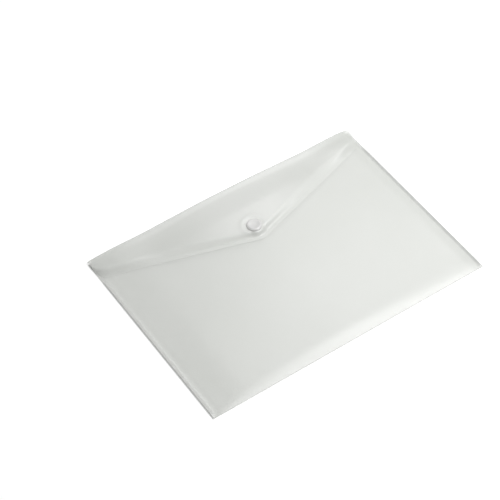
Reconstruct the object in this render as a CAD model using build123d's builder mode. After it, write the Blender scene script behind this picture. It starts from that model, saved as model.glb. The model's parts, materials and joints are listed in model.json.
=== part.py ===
"""Document wallet for A4 papers, closed and lying on its back panel.

One polypropylene sheet makes a pocket, folded at its base and welded along its sides, a narrow spine
and a pointed flap. A snap popper of four pieces holds the flap shut. Millimetres, +Z up. The Z axis runs
through the middle of the pocket, the base fold is at -Y and the folds of the flap are at +Y.
"""

import os
from math import atan2, cos, hypot, sin, sqrt

from build123d import *

# Sheet
sheet = 0.3

# Pocket: its outline, its side welds and the arch of the front panel, level where it carries the popper
wallet_width = 330.0
wallet_depth = 232.0
weld_width = 3.5
pocket_rise = 5.6
level_half_width = 14.0
base_slope = 64.0
fold_lift = 0.05

# Mouth: a wide dip in the front panel, between two ears beside the welds
mouth_drop = 18.5
mouth_half_width = 126.0
ear_drop = 3.0
ear_curve = 22.0

# Creases at both edges of the spine
crease_radius = 0.3
hinge_clearance = 0.05

# Flap: its side edges, measured from the upper crease, its point beyond the popper and its rounded corners
flap_inset = 1.0
flap_side = 26.0
flap_tip_margin = 18.5
flap_tip_radius = 18.0
flap_shoulder_radius = 12.0
flap_root_radius = 4.0
flap_gap = 0.3

# Popper: cap and socket on the flap, stud and back cap on the front panel
popper_reach = 61.2
cap_radius = 8.2
cap_wall = 0.9
cap_crown = 1.8
cap_rim_width = 1.6
cap_dish = 0.6
cap_dish_slope = 2.5
back_cap_radius = 7.0
back_cap_thickness = 0.8
back_cap_edge_radius = 0.3
stud_base_radius = 6.5
stud_base = 1.0
stud_edge_radius = 0.25
stud_neck_radius = 2.35
stud_neck = 0.5
stud_head_radius = 2.6
stud_head = 0.7
stud_head_edge_radius = 0.2
socket_radius = 5.5
socket_roof = 0.6
socket_edge_radius = 0.4
socket_clearance = 0.5
socket_gap = 0.3
post_radius = 1.3
post_clearance = 0.1
post_head_radius = 1.8
post_head = 0.4
post_head_gap = 0.3

# One length by which every cut runs past the face that it opens
overrun = 1.0

# Where the slope of the puffed front panel is drawn, from the base fold to its level stretch
slope_shares = (0.0, 0.2, 0.4, 0.6, 0.8, 1.0)

# Places of the pocket
half_width = wallet_width / 2
panel_half_width = half_width - weld_width
fold_y = sheet - wallet_depth / 2
slope_end_y = fold_y + base_slope
crease_y = wallet_depth / 2 - crease_radius
mouth_y = crease_y - mouth_drop
ear_y = crease_y - ear_drop
front_top = 2 * sheet + pocket_rise

# Places of the spine and the flap
lower_crease_z = crease_radius
upper_crease_z = front_top + flap_gap + sheet / 2
hinge_gap = crease_radius + hinge_clearance
flap_half_width = half_width - flap_inset
crease_half_length = flap_half_width - flap_root_radius

# Places of the popper, whose height tilts the flap
popper_y = crease_y - popper_reach
stud_height = stud_base + stud_neck + stud_head
cavity_top = stud_height + post_head_gap + post_head
popper_rise = front_top + cavity_top + socket_roof + sheet / 2 - upper_crease_z
flap_tilt = atan2(popper_rise, popper_reach)
socket_height = cavity_top + socket_roof - stud_base - socket_gap - socket_radius * sin(flap_tilt)
post_hole_radius = post_radius + post_clearance
post_recess_radius = post_head_radius + post_clearance
post_recess = post_head + post_clearance
cap_crest_radius = cap_radius - cap_rim_width
cap_dish_radius = cap_crest_radius - cap_dish_slope

flap_normal = (0, sin(flap_tilt), cos(flap_tilt))
flap_plane = Plane(origin=(0, crease_y, upper_crease_z), x_dir=(-1, 0, 0), z_dir=flap_normal)
popper_v = hypot(popper_reach, popper_rise)
flap_point = popper_v + flap_tip_margin
cap_plane = Plane(
    origin=flap_plane.from_local_coords((0, popper_v, sheet / 2)), x_dir=(-1, 0, 0), z_dir=flap_normal
)
socket_plane = cap_plane.offset(-sheet)
stud_plane = Plane(origin=(0, popper_y, front_top))
back_cap_plane = stud_plane.offset(-sheet)


def arc_height(distance, run, rise):
    """Height at a distance from the foot of a slope, on the circular arc that ends level after its run."""
    radius = (run**2 + rise**2) / (2 * rise)
    return rise - radius + sqrt(radius**2 - (run - distance) ** 2)


# Back panel: a flat sheet between the welds, from the base fold to the lower crease
with BuildPart() as back_panel:
    with BuildSketch():
        with BuildLine():
            Polyline(
                (-panel_half_width, fold_y),
                (panel_half_width, fold_y),
                (panel_half_width, ear_y),
                (crease_half_length, crease_y - crease_radius),
                (-crease_half_length, crease_y - crease_radius),
                (-panel_half_width, ear_y),
                close=True,
            )
        make_face()
    extrude(amount=sheet)

# Front panel: the puffed sheet, level in its middle and arching down to the base fold and both welds
def front_section(section_y, rise):
    """The sheet cut across at one distance from the base fold: a level middle between two wide arcs."""
    with BuildSketch(Plane.XZ.offset(-section_y)) as section:
        with BuildLine():
            for low in (sheet, 2 * sheet):
                Line((-level_half_width, low + rise), (level_half_width, low + rise))
                for side in (-1, 1):
                    level_end = (side * level_half_width, low + rise)
                    TangentArc(level_end, (side * panel_half_width, low), tangent=(side, 0))
            for side in (-1, 1):
                Line((side * panel_half_width, sheet), (side * panel_half_width, 2 * sheet))
        make_face()
    return section.sketch


slope_sections = []
for share in slope_shares:
    distance = share * base_slope
    rise = fold_lift + arc_height(distance, base_slope, pocket_rise - fold_lift)
    slope_sections.append(front_section(fold_y + distance, rise))

with BuildPart() as front_panel:
    loft(slope_sections)
    extrude(slope_sections[-1], amount=slope_end_y - ear_y)
    # The mouth's dip, with an S-shaped rise to each ear
    with BuildSketch():
        with BuildLine():
            Line((-mouth_half_width, mouth_y), (mouth_half_width, mouth_y))
            for side in (-1, 1):
                dip_end = (side * mouth_half_width, mouth_y)
                ear_end = (side * (mouth_half_width + ear_curve), ear_y)
                middle = (side * (mouth_half_width + ear_curve / 2), (mouth_y + ear_y) / 2)
                TangentArc(dip_end, middle, tangent=(side, 0))
                TangentArc(ear_end, middle, tangent=(-side, 0))
                Line(ear_end, (ear_end[0], ear_y + overrun))
            Line(
                (-mouth_half_width - ear_curve, ear_y + overrun),
                (mouth_half_width + ear_curve, ear_y + overrun),
            )
        make_face()
    extrude(amount=front_top + overrun, mode=Mode.SUBTRACT)
    # The hole for the post of the back cap
    with BuildSketch(back_cap_plane):
        Circle(post_hole_radius)
    extrude(amount=sheet + overrun, mode=Mode.SUBTRACT)

# Base fold: the sheet turned back on itself, as a half-round edge
with BuildPart() as base_fold:
    with BuildSketch(Plane.YZ.offset(-half_width)):
        with BuildLine():
            Line((fold_y, 0), (fold_y, 2 * sheet))
            ThreePointArc((fold_y, 0), (fold_y - sheet, sheet), (fold_y, 2 * sheet))
        make_face()
    extrude(amount=wallet_width)

# Side welds: the two sheets fused along each edge of the pocket
welds = {}
for side, name in ((-1, "left_weld"), (1, "right_weld")):
    with BuildPart() as weld:
        with BuildSketch():
            with Locations((side * (half_width - weld_width / 2), (fold_y + ear_y) / 2)):
                Rectangle(weld_width, ear_y - fold_y)
        extrude(amount=2 * sheet)
    welds[name] = weld.part

# Pocket crease: the scored bead that the spine turns on
with BuildPart() as pocket_crease:
    with BuildSketch(Plane.YZ.offset(-crease_half_length)):
        with Locations((crease_y, lower_crease_z)):
            Circle(crease_radius)
    extrude(amount=2 * crease_half_length)

# Spine: the strip that stands between the two creases
with BuildPart() as spine:
    with BuildSketch(Plane.XZ.offset(-crease_y)):
        with Locations((0, (lower_crease_z + upper_crease_z) / 2)):
            Rectangle(2 * crease_half_length, upper_crease_z - lower_crease_z - 2 * hinge_gap)
    extrude(amount=sheet / 2, both=True)

# Flap crease: the scored bead that the flap turns on
with BuildPart() as flap_crease:
    with BuildSketch(Plane.YZ.offset(-crease_half_length)):
        with Locations((crease_y, upper_crease_z)):
            Circle(crease_radius)
    extrude(amount=2 * crease_half_length)

# Flap: a flat sheet with short sides and a rounded point, resting on the popper
with BuildPart() as flap:
    with BuildSketch(flap_plane):
        with BuildLine():
            FilletPolyline(
                (-flap_half_width, hinge_gap),
                (-flap_half_width, flap_side),
                (0, flap_point),
                (flap_half_width, flap_side),
                (flap_half_width, hinge_gap),
                radius=(
                    flap_root_radius,
                    flap_shoulder_radius,
                    flap_tip_radius,
                    flap_shoulder_radius,
                    flap_root_radius,
                ),
                close=True,
            )
        make_face()
        with Locations((0, popper_v)):
            Circle(post_hole_radius, mode=Mode.SUBTRACT)
    extrude(amount=sheet / 2, both=True)

# Popper stud: a flanged knob on the front panel, hollow for the head of the back cap's post
with BuildPart() as popper_stud:
    with BuildSketch(stud_plane):
        Circle(stud_base_radius)
    extrude(amount=stud_base)
    fillet(popper_stud.faces().sort_by(Axis.Z)[-1].edges(), stud_edge_radius)
    with BuildSketch(stud_plane.offset(stud_base)):
        Circle(stud_neck_radius)
    extrude(amount=stud_neck)
    with BuildSketch(stud_plane.offset(stud_base + stud_neck)):
        Circle(stud_head_radius)
    extrude(amount=stud_head)
    fillet(popper_stud.faces().sort_by(Axis.Z)[-1].edges(), stud_head_edge_radius)
    with Locations(stud_plane.offset(stud_height)):
        CounterBoreHole(post_hole_radius, post_recess_radius, post_recess)

# Popper back cap: a thin disc inside the pocket, with a post through the panel and the stud
with BuildPart() as popper_back_cap:
    with BuildSketch(back_cap_plane):
        Circle(back_cap_radius)
    extrude(amount=-back_cap_thickness)
    fillet(popper_back_cap.faces().sort_by(Axis.Z)[0].edges(), back_cap_edge_radius)
    with BuildSketch(back_cap_plane):
        Circle(post_radius)
    extrude(amount=sheet + stud_height - post_recess)
    with BuildSketch(stud_plane.offset(stud_height - post_recess)):
        Circle(post_head_radius)
    extrude(amount=post_head)

# Popper socket: a ring on the inside of the flap, with a cavity that the stud's head snaps into
with BuildPart() as popper_socket:
    with BuildSketch(socket_plane):
        Circle(socket_radius)
        Circle(post_hole_radius, mode=Mode.SUBTRACT)
    extrude(amount=-socket_height)
    with BuildSketch(socket_plane.offset(-socket_roof)):
        Circle(stud_head_radius + socket_clearance)
    extrude(amount=-socket_height, mode=Mode.SUBTRACT)
    rim_edges = popper_socket.edges().filter_by(GeomType.CIRCLE).group_by(SortBy.RADIUS)[-1]
    fillet(rim_edges.sort_by(Axis.Z)[0], socket_edge_radius)

# Popper cap: a disc with a dished middle and a rounded rim, with a post through the flap and the socket
with BuildPart() as popper_cap:
    with BuildSketch(Plane(cap_plane.origin, x_dir=cap_plane.x_dir, z_dir=-cap_plane.y_dir)):
        with BuildLine():
            dish_edge = (cap_dish_radius, cap_crown - cap_dish)
            Polyline(dish_edge, (0, cap_crown - cap_dish), (0, 0), (cap_radius, 0), (cap_radius, cap_wall))
            TangentArc((cap_crest_radius, cap_crown), (cap_radius, cap_wall), tangent=(1, 0))
            middle = ((cap_dish_radius + cap_crest_radius) / 2, cap_crown - cap_dish / 2)
            TangentArc(dish_edge, middle, tangent=(1, 0))
            TangentArc((cap_crest_radius, cap_crown), middle, tangent=(-1, 0))
        make_face()
    revolve(axis=Axis(cap_plane.origin, cap_plane.z_dir))
    with BuildSketch(cap_plane):
        Circle(post_radius)
    extrude(amount=-sheet - socket_roof)
    with BuildSketch(socket_plane.offset(-socket_roof)):
        Circle(post_head_radius)
    extrude(amount=-post_head)

pieces = {
    "back_panel": back_panel.part,
    "front_panel": front_panel.part,
    "base_fold": base_fold.part,
    **welds,
    "pocket_crease": pocket_crease.part,
    "spine": spine.part,
    "flap_crease": flap_crease.part,
    "flap": flap.part,
    "popper_stud": popper_stud.part,
    "popper_back_cap": popper_back_cap.part,
    "popper_socket": popper_socket.part,
    "popper_cap": popper_cap.part,
}

os.makedirs("parts", exist_ok=True)
for name, piece in pieces.items():
    piece.label = name
    export_step(piece, f"parts/{name}.step")
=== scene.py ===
"""Looks of the document wallet: one sheet of frosted polypropylene, folded, welded and shut with a popper."""

import json
import math

import bpy
import numpy as np
from mathutils import Matrix, Vector


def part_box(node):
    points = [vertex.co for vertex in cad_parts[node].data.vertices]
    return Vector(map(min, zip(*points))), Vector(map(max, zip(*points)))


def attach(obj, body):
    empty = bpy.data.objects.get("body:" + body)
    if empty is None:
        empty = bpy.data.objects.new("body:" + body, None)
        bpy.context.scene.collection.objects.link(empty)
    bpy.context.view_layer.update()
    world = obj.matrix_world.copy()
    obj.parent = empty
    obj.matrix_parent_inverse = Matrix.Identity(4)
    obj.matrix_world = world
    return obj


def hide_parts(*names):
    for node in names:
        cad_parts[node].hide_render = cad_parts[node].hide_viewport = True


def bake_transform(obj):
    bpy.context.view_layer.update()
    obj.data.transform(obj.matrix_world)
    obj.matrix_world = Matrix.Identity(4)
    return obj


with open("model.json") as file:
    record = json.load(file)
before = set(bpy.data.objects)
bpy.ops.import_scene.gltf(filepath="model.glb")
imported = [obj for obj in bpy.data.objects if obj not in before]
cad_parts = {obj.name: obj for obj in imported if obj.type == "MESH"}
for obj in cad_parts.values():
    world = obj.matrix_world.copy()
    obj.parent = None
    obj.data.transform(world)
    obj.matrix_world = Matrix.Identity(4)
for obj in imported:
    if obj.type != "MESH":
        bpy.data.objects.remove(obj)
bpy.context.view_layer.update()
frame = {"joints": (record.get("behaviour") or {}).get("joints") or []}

MM = 0.001

# Places and sizes that come from the frame
back_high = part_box("back_panel")[1]
front_low, front_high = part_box("front_panel")
weld_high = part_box("right_weld")[1]
spine_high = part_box("spine")[1]
flap_low, flap_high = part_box("flap")
stud_low, stud_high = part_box("popper_stud")
axes = {joint["name"]: Vector(joint["pos_m"]) for joint in frame["joints"]}

sheet = back_high.z
two_sheets = 2 * sheet
half_width = weld_high.x
panel_half_width = front_high.x
base_y = front_low.y
ear_y = front_high.y
crease_y = axes["flap_fold"].y
lower_crease_z = axes["spine_fold"].z
upper_crease_z = axes["flap_fold"].z
crease_half_length = spine_high.x
flap_half_width = flap_high.x
flap_reach = crease_y - flap_low.y
front_top = front_high.z
popper_y = (stud_low.y + stud_high.y) / 2
popper_run = crease_y - popper_y

# Front sheet: its puff over the papers, its slopes and its dipped mouth
front_middle_z = 1.5 * sheet
puff = front_top - two_sheets
arch_run = 130 * MM
foot_height = 2.3 * MM
foot_run = 19 * MM
foot_side_run = 45 * MM
left_end_share = 0.22
right_end_share = 0.8
right_round_run = 13 * MM
left_curl = 0.6 * MM
right_curl = 0.05 * MM
curl_run = 9 * MM
corner_run = 9 * MM
mouth_y = crease_y - 18.5 * MM
mouth_half_width = 126 * MM
ear_curve = 22 * MM

# Side welds: the corners of each bead are (inset from the cut edge, height, radius)
left_bead_top = 2.1 * MM
right_bead_top = 2.5 * MM
left_bead = [(0.9 * MM, left_bead_top, 0.7 * MM), (1.5 * MM, 0.96 * left_bead_top, 0.8 * MM)]
right_bead = [(0.9 * MM, right_bead_top, 0.5 * MM), (2.4 * MM, 0.48 * right_bead_top, 1.0 * MM)]
weld_lower_radius = 0.3 * MM
weld_side_height = 0.6 * MM
weld_side_radius = 0.4 * MM
rib_depth = 0.04 * MM
rib_pitch = 2 * MM

# Lower crease: the corners of its bead are (across, up, radius) in millimetres
crease_corners = [(-0.3, 0.0, 0.12), (0.3, 0.0, 0.28), (0.3, 0.6, 0.25), (-0.3, 0.6, 0.12)]
crease_press = 0.06
crease_pitch = 1.0 * MM
base_fullness = 0.98

# Flap: its outline, measured from the upper crease, and its thinned edge
flap_side = 26 * MM
flap_tip_radius = 18 * MM
flap_shoulder_radius = 12 * MM
edge_run = 2.2 * MM
edge_share = 0.08
press_run = 12 * MM
press_y = crease_y - flap_side - press_run

# Flap: how the sheet lies over the pocket, from its plateau to its edges
flap_gap = 0.03 * MM
side_rise = 1.0 * MM
side_run = 9 * MM
dip_depth = 2.2 * MM
side_dip_depth = 0.95 * MM
dip_start = 6 * MM
dip_run = 32 * MM
bulge_height = 0.2 * MM
bulge_run = 37 * MM
bulge_half_run = 14 * MM
ring_radius = 12 * MM
ring_run = 3.2 * MM
ring_height = 0.45 * MM
tent_half_width = 68 * MM
tent_power = 2.4
hold_run = 6 * MM
strip_width = 4 * MM
lift_run = 7 * MM
lift_spread = 9 * MM
float_share = 0.06
border = 7.5 * MM
border_width = 1.7 * MM
border_height = 0.05 * MM

# Flap: its two ends, which stand open on the spine
stand_rise = 4.3 * MM
stand_start = 95 * MM
stand_run = 50 * MM
stand_dip_depth = 1.9 * MM
stand_dip_run = 22 * MM
stand_end_share = 0.7
stand_round_run = 7 * MM
stand_tightness = 0.6

# Flap: its rounded fold, and where the sheet bends over the crease
fold_height = 0.3 * MM
fold_end_height = 0.5 * MM
fold_end_start = 110 * MM
fold_end_run = 40 * MM
fold_end_share = 0.5
fold_round_run = 5 * MM
fold_run = 4 * MM
bend_radius = 3.0 * MM
bend_share = 0.42

# Flap: where light is painted into the sheet's colour, a painted pool of light round the popper and a painted
# highlight along the fold
painted_light_near = 15 * MM
painted_light_run = 90 * MM
painted_light_border = 5 * MM
painted_light_fade = 10 * MM
painted_highlight_run = 6 * MM
painted_highlight_width = 4.5 * MM
painted_highlight_end = 95 * MM
painted_highlight_fade = 45 * MM

# Popper, in the plane of the flap and on the front sheet
popper_rise = 3.2 * MM
popper_play = 0.1 * MM
cap_radius = 8.2 * MM
cap_crown = 1.8 * MM
cap_dish = 0.6 * MM
cap_dish_share = 0.3
cap_dish_radius = 4 * MM
cap_rim_share = 0.8
cap_rim_lift = 0.1 * MM
cap_rim_radius = 1.4 * MM
cap_side_share = 0.5
cap_side_radius = 0.6 * MM
socket_radius = 5.5 * MM
socket_height = 1.9 * MM
socket_roof = 0.6 * MM
socket_cavity_radius = 3.1 * MM
socket_edge = 0.4 * MM
socket_lip = 0.25 * MM
stud_radius = 6.5 * MM
stud_base = 1.0 * MM
stud_neck_radius = 2.35 * MM
stud_neck = 0.5 * MM
stud_head_radius = 2.6 * MM
stud_head = 0.7 * MM
stud_edge = 0.25 * MM
stud_head_edge = 0.2 * MM
back_cap_radius = 7.0 * MM
back_cap_thickness = 0.8 * MM
back_cap_edge = 0.3 * MM
post_radius = 1.3 * MM
post_head_radius = 1.8 * MM
post_head = 0.4 * MM
post_head_edge = 0.12 * MM
fine_edge = 0.1 * MM
soft_edge = 0.15 * MM

# Grids: how many steps lie between the stops of each sheet, and how many loops make each bar
back_columns = [80, 4]
back_rows = 60
front_columns = [50, 32, 14]
front_rows = [16, 80]
flap_middle = 12 * MM
flap_columns = [12, 80]
shoulder_columns = 16
spine_rows = 6
bend_rows = 10
flap_stops = [0, 0.25, 0.95, 1]
flap_rows = [16, 40, 10]
crease_loops = 214
base_loops = 166
weld_loops = 460

# Materials: the pale colour of painted light and painted highlight, the clouds in the colour and the grain of
# the surface
painted_light_colour = (0.975, 0.985, 0.96, 1)
cloud_detail = 3.0
cloud_roughness = 0.5
cloud_dark_stop = 0.3
cloud_light_stop = 0.7
grain_detail = 2.0
grain_roughness = 0.6
grain_strength = 0.5

# Floor, room and lamps
floor_half_size = 4.0
floor_level = -0.1 * MM
floor_colour = (0.88, 0.88, 0.88, 1)
floor_roughness = 0.9
floor_glow = 0.35
white = (1, 1, 1, 1)
room_strength = 0.4
lamp_target = Vector((0, 0, 0))
key_place = Vector((0.37, -0.17, 0.86))
key_size = (0.55, 0.55)
key_power = 4.85
fill_place = Vector((0.46, 0.27, 0.778))
fill_size = (0.7, 0.5)
fill_power = 2.1

# Camera, solved from the corners of the closed wallet in the photograph
camera_target = Vector((-17.78, 36.38, 0.0)) * MM
camera_azimuth = math.radians(-34.55)
camera_elevation = math.radians(50.01)
camera_distance = 1716.5 * MM
camera_lens = 120.6
camera_sensor = 36.0


def smooth_arc(distance, run):
    """Share of the full height at a distance from the foot of a slope that ends level after its run."""
    left = np.clip(1 - distance / run, 0, 1)
    return 1 - left**2


def ease(share):
    """A smooth step from 0 to 1."""
    share = np.clip(share, 0, 1)
    return share * share * (3 - 2 * share)


def bell(distance, width):
    """A bell curve: 1 in its middle, and close to 0 at two widths from it."""
    return np.exp(-((distance / width) ** 2))


def upturn(y):
    """Share of the upturn of the welded sides: none at the base fold, and pressed flat under the flap."""
    return smooth_arc(np.clip(y - base_y, 0, None), corner_run) * (1 - ease((y - press_y) / press_run))


def front_level(x, y):
    """Height of the middle of the front sheet, also where it would go on past the mouth."""
    inward = np.clip(panel_half_width - np.abs(x), 0, None)
    upward = np.clip(y - base_y, 0, None)

    # The foot rounds down to the base fold and to the right weld, and eases in from the left one
    end_share = np.where(x < 0, left_end_share, right_end_share)
    spread_share = end_share + (1 - end_share) * ease(inward / foot_side_run)
    side_share = np.where(x < 0, ease(inward / curl_run), smooth_arc(inward, right_round_run))
    foot = foot_height * spread_share * smooth_arc(upward, foot_run * spread_share) * side_share
    arch = (puff - foot_height) * ease(inward / panel_half_width) * smooth_arc(upward, arch_run)
    curl_height = np.where(x < 0, left_curl, right_curl)
    curl = curl_height * (1 - smooth_arc(inward, curl_run)) * upturn(y)
    return front_middle_z + foot + arch + curl


def mouth_edge(x):
    """How far up the front sheet reaches: a wide dip, an S-shaped rise and an ear on each side."""
    height = ear_y - mouth_y
    radius = ((ear_curve / 2) ** 2 + (height / 2) ** 2) / height
    run = np.clip(np.abs(x) - mouth_half_width, 0, ear_curve)
    lower = radius - np.sqrt(radius**2 - np.minimum(run, ear_curve / 2) ** 2)
    upper = radius - np.sqrt(radius**2 - np.minimum(ear_curve - run, ear_curve / 2) ** 2)
    return mouth_y + np.where(run < ear_curve / 2, lower, height - upper)


# Flap outline: a sharp point and straight edges, before their corners are rounded
edge_angle = math.atan2(flap_reach - flap_side, flap_half_width)
flap_point = flap_reach + flap_tip_radius * (1 / math.cos(edge_angle) - 1)
edge_slope = (flap_point - flap_side) / flap_half_width
edge_slant = math.hypot(1, edge_slope)


def flap_edge(x):
    """How far the flap reaches from the crease: a rounded point, straight edges and rounded shoulders."""
    across = np.abs(x)
    edge = flap_point - edge_slope * across
    tip_centre = flap_point - flap_tip_radius * edge_slant
    tip_end = flap_tip_radius * edge_slope / edge_slant
    tip = tip_centre + np.sqrt(np.clip(flap_tip_radius**2 - across**2, 0, None))
    shoulder_x = flap_half_width - flap_shoulder_radius
    shoulder_centre = flap_point - edge_slope * shoulder_x - flap_shoulder_radius * edge_slant
    shoulder_start = shoulder_x + flap_shoulder_radius * edge_slope / edge_slant
    drop = np.clip(flap_shoulder_radius**2 - (across - shoulder_x) ** 2, 0, None)
    shoulder = shoulder_centre + np.sqrt(drop)
    return np.where(across < tip_end, tip, np.where(across > shoulder_start, shoulder, edge))


def edge_margin(x, y):
    """Distance of a place on the flap from the flap's slanting edge."""
    return (flap_edge(x) - (crease_y - y)) / edge_slant


def flap_level(x, y):
    """Height of the middle of the flap: a rounded fold, a dip, a plateau and edges that lie down."""
    run = crease_y - y
    crest = two_sheets + (max(left_bead_top, right_bead_top) - two_sheets) * upturn(y)
    lie = np.maximum(front_level(x, y) + sheet / 2, crest) + sheet / 2 + flap_gap
    distance = np.hypot(x, y - popper_y)
    margin = edge_margin(x, y)
    side_margin = flap_half_width - np.abs(x)
    tent = np.exp(-((np.abs(x) / tent_half_width) ** tent_power))

    # Level plateau in the middle, tilted with the popper beside its cap, and lower on both sides
    held = 1 - ease((distance - cap_radius) / hold_run)
    tilted = (run - popper_run) * popper_rise / popper_run
    ring = ring_height * bell(distance - ring_radius, ring_run)
    bulge = bulge_height * bell(run - bulge_run, bulge_half_run)
    dip = 1 - ease((run - dip_start) / dip_run)
    free = ring + bulge - dip_depth * dip
    plateau = upper_crease_z + popper_rise + tilted * held + free * (1 - held) - lie
    beside = side_rise - side_dip_depth * dip

    # Both ends stand open on the spine, and their corners are rounded
    open_end = ease((np.abs(x) - stand_start) / stand_run)
    stand = stand_rise - stand_dip_depth * (1 - ease(run / stand_dip_run))
    stand = stand * (stand_end_share + (1 - stand_end_share) * smooth_arc(side_margin, stand_round_run))
    beside = beside * (1 - open_end) + stand * open_end
    rise = plateau * tent + beside * (1 - tent)
    fall = lift_run + lift_spread * (1 - tent) * (1 - stand_tightness * open_end)
    settle = ease((margin - strip_width * tent) / fall)
    settle = settle * (open_end + (1 - open_end) * ease(side_margin / side_run))
    settle = np.maximum(settle, held)

    # Rounded fold, a little fuller at its two ends, and a faint line along the border
    past = np.clip(run - bend_radius, 0, None)
    end = ease((np.abs(x) - fold_end_start) / fold_end_run)
    fullness = fold_height + (fold_end_height - fold_height) * end
    rounding = fold_end_share + (1 - fold_end_share) * smooth_arc(side_margin, fold_round_run)
    fold = fullness * rounding * bell(past, fold_run)
    line = border_height * bell(margin - border, border_width) * (1 - held)
    return lie + fold + line + rise * (settle + (1 - settle) * float_share * tent)


def flap_painted_light(x, y):
    """Share of painted light in the flap: a painted pool of light round the popper and a painted highlight
    along the fold.
    """
    round_popper = 1 - ease((np.hypot(x, y - popper_y) - painted_light_near) / painted_light_run)
    round_popper = round_popper * ease((edge_margin(x, y) - painted_light_border) / painted_light_fade)
    along_fold = bell(crease_y - y - painted_highlight_run, painted_highlight_width)
    along_fold = along_fold * (1 - ease((np.abs(x) - painted_highlight_end) / painted_highlight_fade))
    return np.maximum(round_popper, along_fold)


def spread(stops, steps):
    """Places from the first stop to the last, with its own number of even steps between each two stops."""
    places = [np.linspace(a, b, n, endpoint=False) for a, b, n in zip(stops, stops[1:], steps)]
    return np.append(np.concatenate(places), stops[-1])


def mirrored(places):
    """The same places on both sides of the middle, from the far left to the far right."""
    return np.concatenate([-places[:0:-1], places])


def add_mesh(name, points, faces, material, sharp_degrees=35):
    """A new piece with smooth faces, sharp only where two faces meet at more than the given angle."""
    mesh = bpy.data.meshes.new(name)
    mesh.from_pydata([tuple(point) for point in points], [], faces)
    mesh.polygons.foreach_set("use_smooth", [True] * len(mesh.polygons))
    mesh.set_sharp_from_angle(angle=math.radians(sharp_degrees))
    mesh.materials.append(material)
    piece = bpy.data.objects.new(name, mesh)
    bpy.context.scene.collection.objects.link(piece)
    return piece


def sheet_piece(name, middle, material, thickness=sheet):
    """A closed sheet about a grid of points, with its outer face where the columns turn into the rows."""
    rows, columns = middle.shape[:2]
    across = np.gradient(middle, axis=1)
    along = np.gradient(middle, axis=0)
    normal = np.cross(across, along)
    normal /= np.linalg.norm(normal, axis=2, keepdims=True)
    outer = middle + normal * (thickness - sheet / 2)
    inner = middle - normal * sheet / 2
    points = np.concatenate([outer.reshape(-1, 3), inner.reshape(-1, 3)])
    under = rows * columns
    index = np.arange(under).reshape(rows, columns)
    corners = [index[:-1, :-1], index[:-1, 1:], index[1:, 1:], index[1:, :-1]]
    quads = np.stack([corner.ravel() for corner in corners], axis=1)
    rim = np.concatenate([index[0, :-1], index[:-1, -1], index[-1, :0:-1], index[:0:-1, 0]])
    ahead = np.roll(rim, -1)
    walls = np.stack([rim, rim + under, ahead + under, ahead], axis=1)
    faces = np.concatenate([quads, quads[:, ::-1] + under, walls])
    return add_mesh(name, points, faces.tolist(), material)


def rounded_outline(corners, closed=True, steps=6):
    """Points of an outline given as (a, b, radius) corners, each rounded by an arc of its radius."""
    points = []
    count = len(corners)
    for i, (a, b, radius) in enumerate(corners):
        corner = Vector((a, b))
        if radius == 0 or (not closed and i in (0, count - 1)):
            points.append(corner)
            continue
        before = (Vector(corners[i - 1][:2]) - corner).normalized()
        after = (Vector(corners[(i + 1) % count][:2]) - corner).normalized()
        half = before.angle(after) / 2
        reach = radius / math.tan(half)
        centre = corner + (before + after).normalized() * radius / math.sin(half)
        start = corner + before * reach - centre
        turn = start.angle_signed(corner + after * reach - centre)
        for step in range(steps + 1):
            angle = -turn * step / steps
            cosine, sine = math.cos(angle), math.sin(angle)
            turned = (start.x * cosine - start.y * sine, start.x * sine + start.y * cosine)
            points.append(centre + Vector(turned))
    return np.array([(point.x, point.y) for point in points])


def lathe_piece(name, outline, place, material, segments=96):
    """A turned piece: its outline of (radius, height) points goes round the axis of its place."""
    turns = np.linspace(0, 2 * math.pi, segments, endpoint=False)
    points = []
    rings = []
    for radius, height in outline:
        if radius == 0:
            rings.append([len(points)] * segments)
            points.append((0, 0, height))
            continue
        rings.append(list(range(len(points), len(points) + segments)))
        points.extend((radius * math.cos(t), radius * math.sin(t), height) for t in turns)
    loop = rings if outline[0][0] == 0 else rings + rings[:1]
    faces = []
    for low, high in zip(loop, loop[1:]):
        for i in range(segments):
            j = (i + 1) % segments
            corners = dict.fromkeys((low[i], low[j], high[j], high[i]))
            if len(corners) > 2:
                faces.append(list(corners))
    placed = [place @ Vector(point) for point in points]
    return add_mesh(name, placed, faces, material)


def swept_piece(name, loops, material):
    """A closed bar through loops of as many points each, with both ends capped."""
    count = len(loops[0])
    points = np.concatenate(loops)
    faces = []
    for k in range(len(loops) - 1):
        low = k * count
        high = low + count
        for i in range(count):
            j = (i + 1) % count
            faces.append([low + i, low + j, high + j, high + i])
    faces.append(list(range(count))[::-1])
    faces.append(list(range(len(points) - count, len(points))))
    return add_mesh(name, points, faces, material)


def node(tree, kind, **values):
    """A new shader node with its sockets set by name."""
    made = tree.nodes.new(kind)
    for key, value in values.items():
        made.inputs[key.replace("_", " ")].default_value = value
    return made


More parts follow.
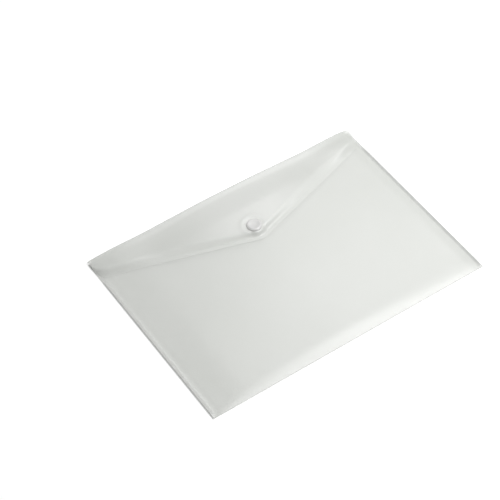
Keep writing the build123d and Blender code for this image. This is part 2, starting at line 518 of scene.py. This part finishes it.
def plastic(name, dark, light, alpha, specular, smooth, rough, patch_size, grain_size, grain_depth):
    """Polypropylene: a cloudy colour, paler where light is painted on, an uneven gloss and a fine frosted
    grain.
    """
    material = bpy.data.materials.new(name)
    material.use_nodes = True
    tree = material.node_tree
    link = tree.links.new
    shader = tree.nodes["Principled BSDF"]
    shader.inputs["Alpha"].default_value = alpha
    shader.inputs["Specular IOR Level"].default_value = specular
    place = tree.nodes.new("ShaderNodeTexCoord").outputs["Object"]
    noise = "ShaderNodeTexNoise"
    cloud = node(tree, noise, Scale=1 / patch_size, Detail=cloud_detail, Roughness=cloud_roughness)
    grain = node(tree, noise, Scale=1 / grain_size, Detail=grain_detail, Roughness=grain_roughness)
    link(place, cloud.inputs["Vector"])
    link(place, grain.inputs["Vector"])

    # Colour: clouds between a dark and a light tone, and a pale colour mixed in where light is painted on the
    # piece
    colour = tree.nodes.new("ShaderNodeValToRGB")
    dark_stop, light_stop = colour.color_ramp.elements
    dark_stop.position = cloud_dark_stop
    light_stop.position = cloud_light_stop
    dark_stop.color = (*dark, 1)
    light_stop.color = (*light, 1)
    link(cloud.outputs["Fac"], colour.inputs["Fac"])
    # Painted light: the point attribute read here holds the painted pool of light and painted highlight on
    # the flap
    painted_light = tree.nodes.new("ShaderNodeAttribute")
    painted_light.attribute_name = "painted_light"
    painted_light_mix = node(tree, "ShaderNodeMixRGB", Color2=painted_light_colour)
    link(painted_light.outputs["Fac"], painted_light_mix.inputs["Fac"])
    link(colour.outputs["Color"], painted_light_mix.inputs["Color1"])
    link(painted_light_mix.outputs["Color"], shader.inputs["Base Color"])

    # Surface: the grain makes the gloss uneven and stands up a little
    gloss = node(tree, "ShaderNodeMapRange", To_Min=smooth, To_Max=rough)
    link(grain.outputs["Fac"], gloss.inputs["Value"])
    link(gloss.outputs["Result"], shader.inputs["Roughness"])
    bump = node(tree, "ShaderNodeBump", Strength=grain_strength, Distance=grain_depth)
    link(grain.outputs["Fac"], bump.inputs["Height"])
    link(bump.outputs["Normal"], shader.inputs["Normal"])
    return material


frosted = plastic(
    "frosted_sheet",
    dark=(0.875, 0.89, 0.855),
    light=(0.905, 0.918, 0.888),
    alpha=0.5,
    specular=1.0,
    smooth=0.22,
    rough=0.3,
    patch_size=120 * MM,
    grain_size=0.5 * MM,
    grain_depth=0.01 * MM,
)
welded = plastic(
    "welded_edge",
    dark=(0.7, 0.71, 0.685),
    light=(0.78, 0.79, 0.765),
    alpha=0.72,
    specular=0.9,
    smooth=0.2,
    rough=0.3,
    patch_size=6 * MM,
    grain_size=0.6 * MM,
    grain_depth=0.02 * MM,
)
moulded = plastic(
    "popper_plastic",
    dark=(0.8, 0.8, 0.79),
    light=(0.85, 0.845, 0.835),
    alpha=0.8,
    specular=0.7,
    smooth=0.16,
    rough=0.24,
    patch_size=5 * MM,
    grain_size=0.3 * MM,
    grain_depth=0.005 * MM,
)


def make_back_sheet():
    """The flat sheet that the wallet lies on, with its two upper corners cut off beside the crease."""
    ear_half_width = panel_half_width - crease_half_length
    x = mirrored(spread([0, crease_half_length, panel_half_width], back_columns))
    corner = np.clip((panel_half_width - np.abs(x)) / ear_half_width, 0, 1)
    top = ear_y + (back_high.y - ear_y) * corner
    share = np.linspace(0, 1, back_rows)[:, None]
    y = base_y + share * (top - base_y)[None, :]
    middle = np.stack([np.broadcast_to(x, y.shape), y, np.full(y.shape, sheet / 2)], axis=2)
    piece = sheet_piece("back_sheet", middle, frosted)
    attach(piece, "pocket")
    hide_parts("back_panel")


def make_front_sheet():
    """The puffed front sheet, from the base fold to its dipped mouth and its two ears."""
    ear_x = mouth_half_width + ear_curve
    x = mirrored(spread([0, mouth_half_width, ear_x, panel_half_width], front_columns))
    foot_share = foot_run / (ear_y - base_y)
    share = spread([0, foot_share, 1], front_rows)[:, None]
    y = base_y + share * (mouth_edge(x) - base_y)[None, :]
    across = np.broadcast_to(x, y.shape)
    middle = np.stack([across, y, front_level(across, y)], axis=2)
    piece = sheet_piece("front_sheet", middle, frosted)
    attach(piece, "pocket")
    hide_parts("front_panel")


def make_flap_sheet():
    """Spine, rounded fold and flap as one sheet, bending at the fold."""
    shoulder_x = flap_half_width - flap_shoulder_radius
    x = mirrored(spread([0, flap_middle, shoulder_x], flap_columns))
    turn = np.linspace(0, math.pi / 2, shoulder_columns)[1:]
    shoulder = shoulder_x + flap_shoulder_radius * np.sin(turn)
    x = np.concatenate([-shoulder[::-1], x, shoulder])[::-1]

    # Rows of the spine, of the bend over the crease and of the flap
    ridge = flap_level(x, crease_y - bend_radius)
    radius = np.minimum(bend_radius, bend_share * ridge)
    rows = []
    for share in np.linspace(0, 1, spine_rows)[:-1]:
        z = lower_crease_z + share * (ridge - radius - lower_crease_z)
        rows.append((x, np.full(x.shape, crease_y), z))
    for angle in np.linspace(0, math.pi / 2, bend_rows)[:-1]:
        y = crease_y - radius * (1 - math.cos(angle))
        z = ridge - radius + radius * math.sin(angle)
        rows.append((x, y, z))
    reach = flap_edge(x)
    for share in spread(flap_stops, flap_rows):
        run = radius + share * (reach - radius)
        y = crease_y - run
        rows.append((x, y, flap_level(x, y)))
    middle = np.array(rows).transpose(0, 2, 1)

    # The sheet thins out at its cut edge, and carries its painted light and painted highlight point by point
    margin = edge_margin(middle[:, :, 0], middle[:, :, 1])
    thickness = sheet * (edge_share + (1 - edge_share) * np.clip(margin / edge_run, 0, 1))
    piece = sheet_piece("flap_sheet", middle, frosted, thickness[:, :, None])
    painted_light_share = flap_painted_light(middle[:, :, 0], middle[:, :, 1]).ravel()
    painted_light = piece.data.attributes.new("painted_light", "FLOAT", "POINT")
    painted_light.data.foreach_set("value", np.tile(painted_light_share, 2).astype(np.float32))
    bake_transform(piece)
    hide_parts("spine", "flap_crease", "flap")


def make_pocket_crease():
    """The scored line that the spine turns on: a thin bead, pressed in small steps."""
    outline = rounded_outline([(a * MM, b * MM, r * MM) for a, b, r in crease_corners])
    loops = []
    for x in np.linspace(-crease_half_length, crease_half_length, crease_loops):
        press = 1 - crease_press * math.sin(x / crease_pitch) ** 2
        y = crease_y + outline[:, 0] * press
        loops.append(np.stack([np.full(len(outline), x), y, outline[:, 1]], axis=1))
    piece = swept_piece("crease_bead", loops, frosted)
    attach(piece, "pocket")
    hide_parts("pocket_crease")


def make_base_edge():
    """The folded lower edge that joins the front and back sheets."""
    nose = base_y - sheet
    radius = base_fullness * sheet
    corners = [(base_y, 0, 0), (base_y, two_sheets, 0), (nose, two_sheets, radius), (nose, 0, radius)]
    outline = rounded_outline(corners)
    loops = []
    for x in np.linspace(-half_width, half_width, base_loops):
        loops.append(np.stack([np.full(len(outline), x), outline[:, 0], outline[:, 1]], axis=1))
    piece = swept_piece("base_edge", loops, frosted)
    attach(piece, "pocket")
    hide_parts("base_fold")


def make_weld(side, name):
    """A side weld: a fused strip with fine ribs, drawn up into a bead along its cut edge."""
    bead, curl_height = (left_bead, left_curl) if side < 0 else (right_bead, right_curl)
    corners = [
        (panel_half_width, 0, 0),
        (half_width, 0, weld_lower_radius),
        (half_width, weld_side_height, weld_side_radius),
        *[(half_width - inset, height, radius) for inset, height, radius in bead],
        (panel_half_width, two_sheets + curl_height, 0),
    ]
    outline = rounded_outline(corners)
    loops = []
    for y in np.linspace(base_y, ear_y, weld_loops):
        rib = rib_depth * math.sin(y / rib_pitch * math.pi) ** 2
        raised = np.clip(outline[:, 1] - two_sheets, 0, None) * upturn(y)
        low = outline[:, 1] < sheet
        z = np.where(low, outline[:, 1], np.minimum(outline[:, 1], two_sheets) + raised - rib)
        loops.append(np.stack([side * outline[:, 0], np.full(len(outline), y), z], axis=1))
    if side > 0:
        loops = loops[::-1]
    piece = swept_piece(f"{name}_strip", loops, welded)
    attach(piece, "pocket")
    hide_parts(name)


def place_popper_piece(piece, body, node_name):
    """A popper piece moves with its body and stands for its node."""
    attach(piece, body)
    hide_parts(node_name)


def make_popper():
    """Cap and socket on the flap, stud and back cap on the front sheet."""
    tilt = math.atan2(popper_rise, popper_run)
    flap_place = Matrix.Translation((0, popper_y, upper_crease_z + popper_rise))
    on_flap = flap_place @ Matrix.Rotation(-tilt, 4, "X")
    on_front = Matrix.Translation((0, popper_y, front_top))

    # Cap: a disc with a dished middle inside a rounded rim, and its post through the flap
    top = sheet / 2
    dish = top + cap_crown - cap_dish
    roof = -top - socket_roof
    cap = rounded_outline(
        [
            (0, dish, 0),
            (cap_dish_share * cap_radius, dish, cap_dish_radius),
            (cap_rim_share * cap_radius, top + cap_crown + cap_rim_lift, cap_rim_radius),
            (cap_radius, top + cap_side_share * cap_crown, cap_side_radius),
            (cap_radius, top, soft_edge),
            (post_radius, top, 0),
            (post_radius, roof, 0),
            (post_head_radius, roof, fine_edge),
            (post_head_radius, roof - post_head, soft_edge),
            (0, roof - post_head, 0),
        ],
        closed=False,
    )
    piece = lathe_piece("popper_cap_disc", cap[::-1], on_flap, moulded)
    place_popper_piece(piece, "flap", "popper_cap")

    # Socket: a ring with a cavity for the stud's head
    bore = post_radius + popper_play
    socket = rounded_outline(
        [
            (bore, -top, 0),
            (socket_radius, -top, fine_edge),
            (socket_radius, -top - socket_height, socket_edge),
            (socket_cavity_radius, -top - socket_height, socket_lip),
            (socket_cavity_radius, roof, 0),
            (bore, roof, 0),
        ]
    )
    piece = lathe_piece("popper_socket_ring", socket[::-1], on_flap, moulded)
    place_popper_piece(piece, "flap", "popper_socket")

    # Stud: a flange, a neck and a wider head, open at the top
    neck = stud_base + stud_neck
    head = neck + stud_head
    recess_radius = post_head_radius + popper_play
    seat = head - (post_head + popper_play)
    stud = rounded_outline(
        [
            (bore, 0, 0),
            (stud_radius, 0, fine_edge),
            (stud_radius, stud_base, stud_edge),
            (stud_neck_radius, stud_base, soft_edge),
            (stud_neck_radius, neck, 0),
            (stud_head_radius, neck, fine_edge),
            (stud_head_radius, head, stud_head_edge),
            (recess_radius, head, 0),
            (recess_radius, seat, 0),
            (bore, seat, 0),
        ]
    )
    piece = lathe_piece("popper_stud_knob", stud, on_front, moulded)
    place_popper_piece(piece, "pocket", "popper_stud")

    # Back cap: a thin disc behind the front sheet, with the post that holds the stud
    back_cap = rounded_outline(
        [
            (0, -sheet - back_cap_thickness, 0),
            (back_cap_radius, -sheet - back_cap_thickness, back_cap_edge),
            (back_cap_radius, -sheet, fine_edge),
            (post_radius, -sheet, 0),
            (post_radius, seat, 0),
            (post_head_radius, seat, fine_edge),
            (post_head_radius, seat + post_head, post_head_edge),
            (0, seat + post_head, 0),
        ],
        closed=False,
    )
    piece = lathe_piece("popper_back_disc", back_cap, on_front, moulded)
    place_popper_piece(piece, "pocket", "popper_back_cap")


def make_floor():
    """A plain white floor that keeps its shadows and glows a little, also where the wallet shows it."""
    signs = [(-1, -1), (1, -1), (1, 1), (-1, 1)]
    points = [(a * floor_half_size, b * floor_half_size, floor_level) for a, b in signs]
    material = bpy.data.materials.new("white_floor")
    material.use_nodes = True
    tree = material.node_tree
    link = tree.links.new
    shader = tree.nodes["Principled BSDF"]
    shader.inputs["Base Color"].default_value = floor_colour
    shader.inputs["Roughness"].default_value = floor_roughness
    shader.inputs["Specular IOR Level"].default_value = 0.0
    shader.inputs["Emission Color"].default_value = white
    rays = tree.nodes.new("ShaderNodeLightPath")
    mirrored_too = tree.nodes.new("ShaderNodeMath")
    mirrored_too.operation = "MAXIMUM"
    through_too = tree.nodes.new("ShaderNodeMath")
    through_too.operation = "MAXIMUM"
    glow = tree.nodes.new("ShaderNodeMath")
    glow.operation = "MULTIPLY"
    glow.inputs[1].default_value = floor_glow
    link(rays.outputs["Is Camera Ray"], mirrored_too.inputs[0])
    link(rays.outputs["Is Glossy Ray"], mirrored_too.inputs[1])
    link(mirrored_too.outputs[0], through_too.inputs[0])
    link(rays.outputs["Is Transmission Ray"], through_too.inputs[1])
    link(through_too.outputs[0], glow.inputs[0])
    link(glow.outputs[0], shader.inputs["Emission Strength"])
    floor = add_mesh("floor", points, [[0, 1, 2, 3]], material)


def softbox(name, place, size, power):
    """A large soft lamp that faces the wallet."""
    lamp = bpy.data.lights.new(name, "AREA")
    lamp.shape = "RECTANGLE"
    lamp.size, lamp.size_y = size
    lamp.energy = power
    piece = bpy.data.objects.new(name, lamp)
    piece.location = place
    piece.rotation_mode = "QUATERNION"
    piece.rotation_quaternion = (lamp_target - place).to_track_quat("-Z", "Y")
    bpy.context.scene.collection.objects.link(piece)


def make_light():
    """A pale room with two near softboxes on the right, one to the front and one to the back."""
    world = bpy.data.worlds.new("studio")
    bpy.context.scene.world = world
    world.use_nodes = True
    room = world.node_tree.nodes["Background"]
    room.inputs["Color"].default_value = white
    room.inputs["Strength"].default_value = room_strength
    softbox("key", key_place, key_size, key_power)
    softbox("fill", fill_place, fill_size, fill_power)


def make_camera():
    """The photograph's view of the closed wallet."""
    level = math.cos(camera_elevation)
    back_x = math.sin(camera_azimuth) * level
    back_y = -math.cos(camera_azimuth) * level
    back = Vector((back_x, back_y, math.sin(camera_elevation)))
    data = bpy.data.cameras.new("view")
    data.lens = camera_lens
    data.sensor_width = camera_sensor
    camera = bpy.data.objects.new("view", data)
    camera.location = camera_target + back * camera_distance
    camera.rotation_mode = "QUATERNION"
    camera.rotation_quaternion = (-back).to_track_quat("-Z", "Y")
    bpy.context.scene.collection.objects.link(camera)
    bpy.context.scene.camera = camera


make_back_sheet()
make_front_sheet()
make_flap_sheet()
make_pocket_crease()
make_base_edge()
make_weld(-1, "left_weld")
make_weld(1, "right_weld")
make_popper()
make_floor()
make_light()
make_camera()
bpy.context.scene.view_settings.view_transform = "Standard"
